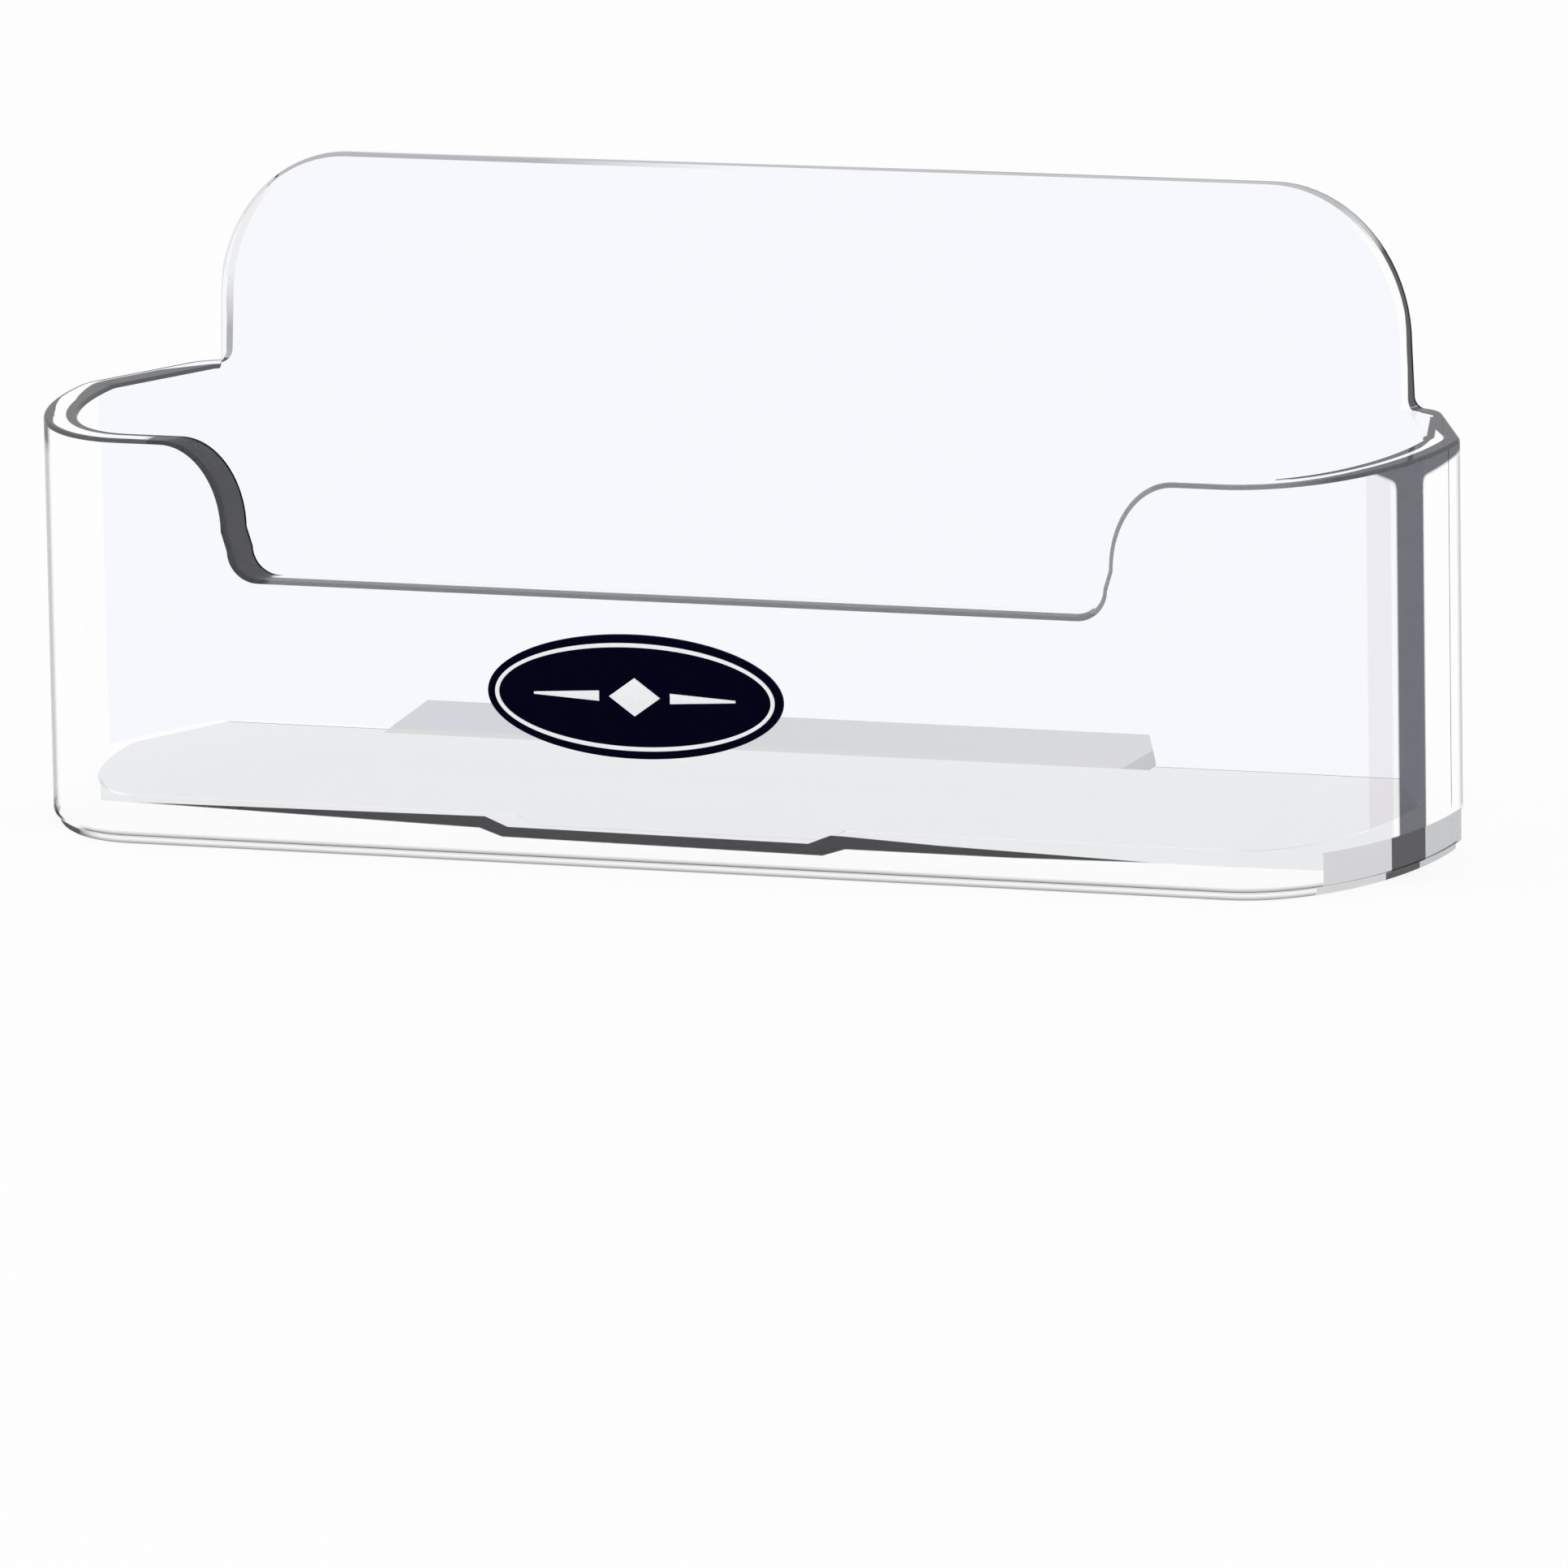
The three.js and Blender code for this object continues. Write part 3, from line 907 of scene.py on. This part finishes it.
def prism(name, lower, upper, band, end_band=None):
    """Closed solid between two rings of points. Its lower end may have a finish of its own."""
    bm = bmesh.new()
    bm.verts.layers.float.new("across")
    low_row = [bm.verts.new(p) for p in lower]
    high_row = [bm.verts.new(p) for p in upper]
    count = len(low_row)
    for i in range(count):
        j = (i + 1) % count
        bm.faces.new([low_row[i], low_row[j], high_row[j], high_row[i]])
    end = bm.faces.new(low_row[::-1])
    bm.faces.new(high_row)
    for face in bm.faces:
        face.material_index = band
    end.material_index = band if end_band is None else end_band
    bmesh.ops.recalc_face_normals(bm, faces=bm.faces)
    return linked(name, bm, PLASTIC)


def hollow_tool():
    near = FRONT + HOLLOW_WALL
    far = REAR - HOLLOW_WALL
    start = HOLLOW_HALF - HOLLOW_CORNER
    right = arc(start, near + HOLLOW_CORNER, HOLLOW_CORNER, HOLLOW_CORNER, -90, 0, ARC_STEPS)
    right += arc(start, far - HOLLOW_CORNER, HOLLOW_CORNER, HOLLOW_CORNER, 0, 90, ARC_STEPS)
    outline = right + [(-x, y) for x, y in right[::-1]]
    lower = [(x, y, -OVERRUN) for x, y in outline]
    upper = [(x, y, FLOOR - FLOOR_THICKNESS) for x, y in outline]
    return prism("hollow_tool", lower, upper, HOLLOW)


def scoop_tool(drop, band, end_band):
    """Wedge that is deepest at the front wall and runs out towards the back."""

    def ring(y, depth):
        bottom = SCOOP_HALF - SCOOP_SLOPE
        return [
            (-bottom, y, FLOOR - drop - depth),
            (bottom, y, FLOOR - drop - depth),
            (SCOOP_HALF, y, FLOOR - drop),
            (SCOOP_HALF, y, FLOOR - drop + OVERRUN),
            (-SCOOP_HALF, y, FLOOR - drop + OVERRUN),
            (-SCOOP_HALF, y, FLOOR - drop),
        ]

    inside = FRONT + WALL + POCKET_DRAFT
    deep = ring(inside, SCOOP_DEPTH)
    shallow = ring(inside + SCOOP_RUN, -SCOOP_RUN_OUT)
    return prism("scoop_tool", deep, shallow, band, end_band)


def rib_tool():
    inside = REAR - WALL
    sunk = FLOOR_THICKNESS / 2 / RIB_HEIGHT
    foot = RIB_FOOT + POCKET_DRAFT

    def ring(height):
        left = RIB_LEFT + height * RIB_LEFT_SLOPE
        right = RIB_RIGHT - height * RIB_RIGHT_SLOPE
        near = inside - foot + height * (foot - RIB_TOP)
        back = inside + WALL / 2
        z = FLOOR + height * RIB_HEIGHT
        return [(left, near, z), (right, near, z), (right, back, z), (left, back, z)]

    return prism("rib_tool", ring(-sunk), ring(1), RIB)


def applied(target, tool, operation):
    """Joins a tool to the target or cuts it out, and removes the tool."""
    modifier = target.modifiers.new("join", "BOOLEAN")
    modifier.operation = operation
    modifier.solver = "MANIFOLD"
    modifier.object = tool
    depsgraph = bpy.context.evaluated_depsgraph_get()
    mesh = bpy.data.meshes.new_from_object(target.evaluated_get(depsgraph))
    target.modifiers.clear()
    old = target.data
    mesh.name = old.name
    target.data = mesh
    bpy.data.meshes.remove(old)
    bpy.data.objects.remove(tool)


shell = build_shell()
hollow = hollow_tool()
applied(hollow, scoop_tool(FLOOR_THICKNESS, HOLLOW, HOLLOW), "DIFFERENCE")
applied(shell, scoop_tool(0, FLOOR_FACE, INNER), "DIFFERENCE")
applied(shell, hollow, "DIFFERENCE")
applied(shell, rib_tool(), "UNION")
for polygon in shell.data.polygons:
    polygon.use_smooth = True
shell.data.set_sharp_from_angle(angle=SHELL_SHARP)
weighted = shell.modifiers.new("weighted", "WEIGHTED_NORMAL")
weighted.keep_sharp = True
weighted.weight = FACE_WEIGHT


def plate(name, outlines, back, thickness, radius, material):
    """Upright plate on the badge: outlines in X and Z about the badge's centre, a second one
    being a hole, from back towards the front. Its front edges are rounded."""
    bm = bmesh.new()
    edges = []
    for outline in outlines:
        row = [bm.verts.new((BADGE_X + x, back, BADGE_Z + z)) for x, z in outline]
        for i, vert in enumerate(row):
            edges.append(bm.edges.new((vert, row[(i + 1) % len(row)])))
    filled = bmesh.ops.triangle_fill(bm, edges=edges, use_beauty=True)
    faces = [item for item in filled["geom"] if isinstance(item, bmesh.types.BMFace)]
    raised = bmesh.ops.extrude_face_region(bm, geom=faces)
    verts = [item for item in raised["geom"] if isinstance(item, bmesh.types.BMVert)]
    bmesh.ops.translate(bm, verts=verts, vec=(0, -thickness, 0))
    bmesh.ops.recalc_face_normals(bm, faces=bm.faces)
    front = back - thickness
    rim = [
        edge
        for edge in bm.edges
        if all(abs(vert.co.y - front) < ON_FRONT for vert in edge.verts)
        and any(abs(face.normal.y) < SIDE_NORMAL for face in edge.link_faces)
    ]
    bmesh.ops.bevel(
        bm,
        geom=rim,
        offset=radius,
        segments=PLATE_ROUND_STEPS,
        profile=PLATE_ROUND_PROFILE,
        affect="EDGES",
    )
    made = linked(name, bm, [material])
    for polygon in made.data.polygons:
        polygon.use_smooth = True
    made.data.set_sharp_from_angle(angle=PLATE_SHARP)
    return made


def oval(inset, steps):
    angles = np.linspace(0, 2 * math.pi, steps, endpoint=False)
    width = BADGE_HALF_WIDTH - inset
    height = BADGE_HALF_HEIGHT - inset
    return [(width * math.cos(a), height * math.sin(a)) for a in angles]


def bar(side):
    near = side * (LOZENGE_HALF_WIDTH + BAR_GAP)
    far = near + side * BAR_LENGTH
    return [
        (near, -BAR_HALF_HEIGHT),
        (far, -BAR_HALF_TIP),
        (far, BAR_HALF_TIP),
        (near, BAR_HALF_HEIGHT),
    ]


LOZENGE = [
    (LOZENGE_HALF_WIDTH, 0),
    (0, LOZENGE_HALF_HEIGHT),
    (-LOZENGE_HALF_WIDTH, 0),
    (0, -LOZENGE_HALF_HEIGHT),
]
film_back = FRONT - HAIR
film_front = FRONT - FILM_THICKNESS
film_oval = oval(0, OVAL_STEPS)
film = plate("label_film", [film_oval], film_back, film_back - film_front, FILM_RADIUS, vinyl())
white_ink = ink()
outlines = {
    "badge_ring": [oval(RING_INSET, OVAL_STEPS), oval(RING_INSET + RING_WIDTH, OVAL_STEPS)],
    "badge_lozenge": [LOZENGE],
    "badge_bar_left": [bar(-1)],
    "badge_bar_right": [bar(1)],
}
for node, outline in outlines.items():
    name = node.replace("badge", "ink")
    printed = plate(name, outline, film_front, PRINT_THICKNESS, PRINT_RADIUS, white_ink)
    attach(printed, ROOT)
    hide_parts(node)
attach(shell, ROOT)
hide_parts("holder_moulding")

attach(film, ROOT)
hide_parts("badge_film")


# Camera, from a fit of the photograph: angles in degrees, distances in metres
CAMERA_AZIMUTH = 19.05
CAMERA_ELEVATION = 10.18
CAMERA_ROLL = -1.005
CAMERA_DISTANCE = 0.9679
CAMERA_TARGET = Vector((0, FRONT + 14 * MM, 22 * MM))
FOCAL_PIXELS = 17719
CENTRE_PIXEL = (899.5, 630.8)
SENSOR = 36
CLIP_START = 0.01

# Studio: a white world, one soft lamp and a pale floor just under the tray
AMBIENT = 0.8
LAMP_POWER = 6
LAMP_WIDTH = 1.2
LAMP_HEIGHT = 0.8
LAMP_PLACE = Vector((-0.7, -0.6, 1.3))
STUDIO_FLOOR_HALF = 3
STUDIO_FLOOR_COLOR = (0.9, 0.9, 0.9, 1)
STUDIO_FLOOR_WHITE = 0.9
STUDIO_FLOOR_GAP = 0.02 * MM


def add_camera():
    azimuth = math.radians(CAMERA_AZIMUTH)
    elevation = math.radians(CAMERA_ELEVATION)
    back = Vector(
        (
            math.sin(azimuth) * math.cos(elevation),
            -math.cos(azimuth) * math.cos(elevation),
            math.sin(elevation),
        )
    )
    data = bpy.data.cameras.new("photo_camera")
    data.sensor_width = SENSOR
    data.lens = FOCAL_PIXELS * SENSOR / PHOTO_SIDE
    data.shift_x = 0.5 - CENTRE_PIXEL[0] / PHOTO_SIDE
    data.shift_y = CENTRE_PIXEL[1] / PHOTO_SIDE - 0.5
    data.clip_start = CLIP_START
    camera = bpy.data.objects.new("photo_camera", data)
    look = back.to_track_quat("Z", "Y").to_matrix().to_4x4()
    roll = Matrix.Rotation(math.radians(CAMERA_ROLL), 4, "Z")
    camera.matrix_world = Matrix.Translation(CAMERA_TARGET + back * CAMERA_DISTANCE) @ look @ roll
    bpy.context.scene.collection.objects.link(camera)
    bpy.context.scene.camera = camera


def seen_rays(tree):
    """1 for rays from the camera, also by way of a gloss or through the clear plastic."""
    rays = tree.nodes.new("ShaderNodeLightPath").outputs
    seen = Field(tree, rays["Is Camera Ray"]) + Field(tree, rays["Is Glossy Ray"])
    return seen + Field(tree, rays["Is Transmission Ray"])


def add_world():
    """White all round. Diffuse surfaces get a little less of it, and the rest from the lamp."""
    world = bpy.data.worlds.new("studio")
    world.use_nodes = True
    bpy.context.scene.world = world
    tree = world.node_tree
    background = tree.nodes["Background"]
    background.inputs["Color"].default_value = (1, 1, 1, 1)
    strength = seen_rays(tree).ramp(0, 1, AMBIENT, 1)
    tree.links.new(strength.socket, background.inputs["Strength"])


def add_lamp():
    light = bpy.data.lights.new("soft_box", "AREA")
    light.shape = "RECTANGLE"
    light.size = LAMP_WIDTH
    light.size_y = LAMP_HEIGHT
    light.energy = LAMP_POWER
    lamp = bpy.data.objects.new("soft_box", light)
    aim = LAMP_PLACE.to_track_quat("Z", "Y").to_matrix().to_4x4()
    lamp.matrix_world = Matrix.Translation(LAMP_PLACE) @ aim
    bpy.context.scene.collection.objects.link(lamp)


def add_floor():
    bm = bmesh.new()
    bmesh.ops.create_grid(bm, x_segments=1, y_segments=1, size=STUDIO_FLOOR_HALF)
    mesh = bpy.data.meshes.new("studio_floor")
    bm.to_mesh(mesh)
    bm.free()
    floor = bpy.data.objects.new("studio_floor", mesh)
    floor.location.z = -STUDIO_FLOOR_GAP
    bpy.context.scene.collection.objects.link(floor)
    material = bpy.data.materials.new("studio_floor")
    material.use_nodes = True
    tree = material.node_tree
    shader = tree.nodes["Principled BSDF"]
    shader.inputs["Base Color"].default_value = STUDIO_FLOOR_COLOR
    shader.inputs["Roughness"].default_value = 1
    shader.inputs["Specular IOR Level"].default_value = 0
    white = tree.nodes.new("ShaderNodeEmission")
    mix = tree.nodes.new("ShaderNodeMixShader")
    seen = seen_rays(tree).ramp(0, 1, 0, STUDIO_FLOOR_WHITE)
    tree.links.new(seen.socket, mix.inputs["Fac"])
    tree.links.new(shader.outputs["BSDF"], mix.inputs[1])
    tree.links.new(white.outputs["Emission"], mix.inputs[2])
    tree.links.new(mix.outputs["Shader"], tree.nodes["Material Output"].inputs["Surface"])
    mesh.materials.append(material)


add_camera()
add_world()
add_lamp()
add_floor()
bpy.context.scene.view_settings.view_transform = "Standard"
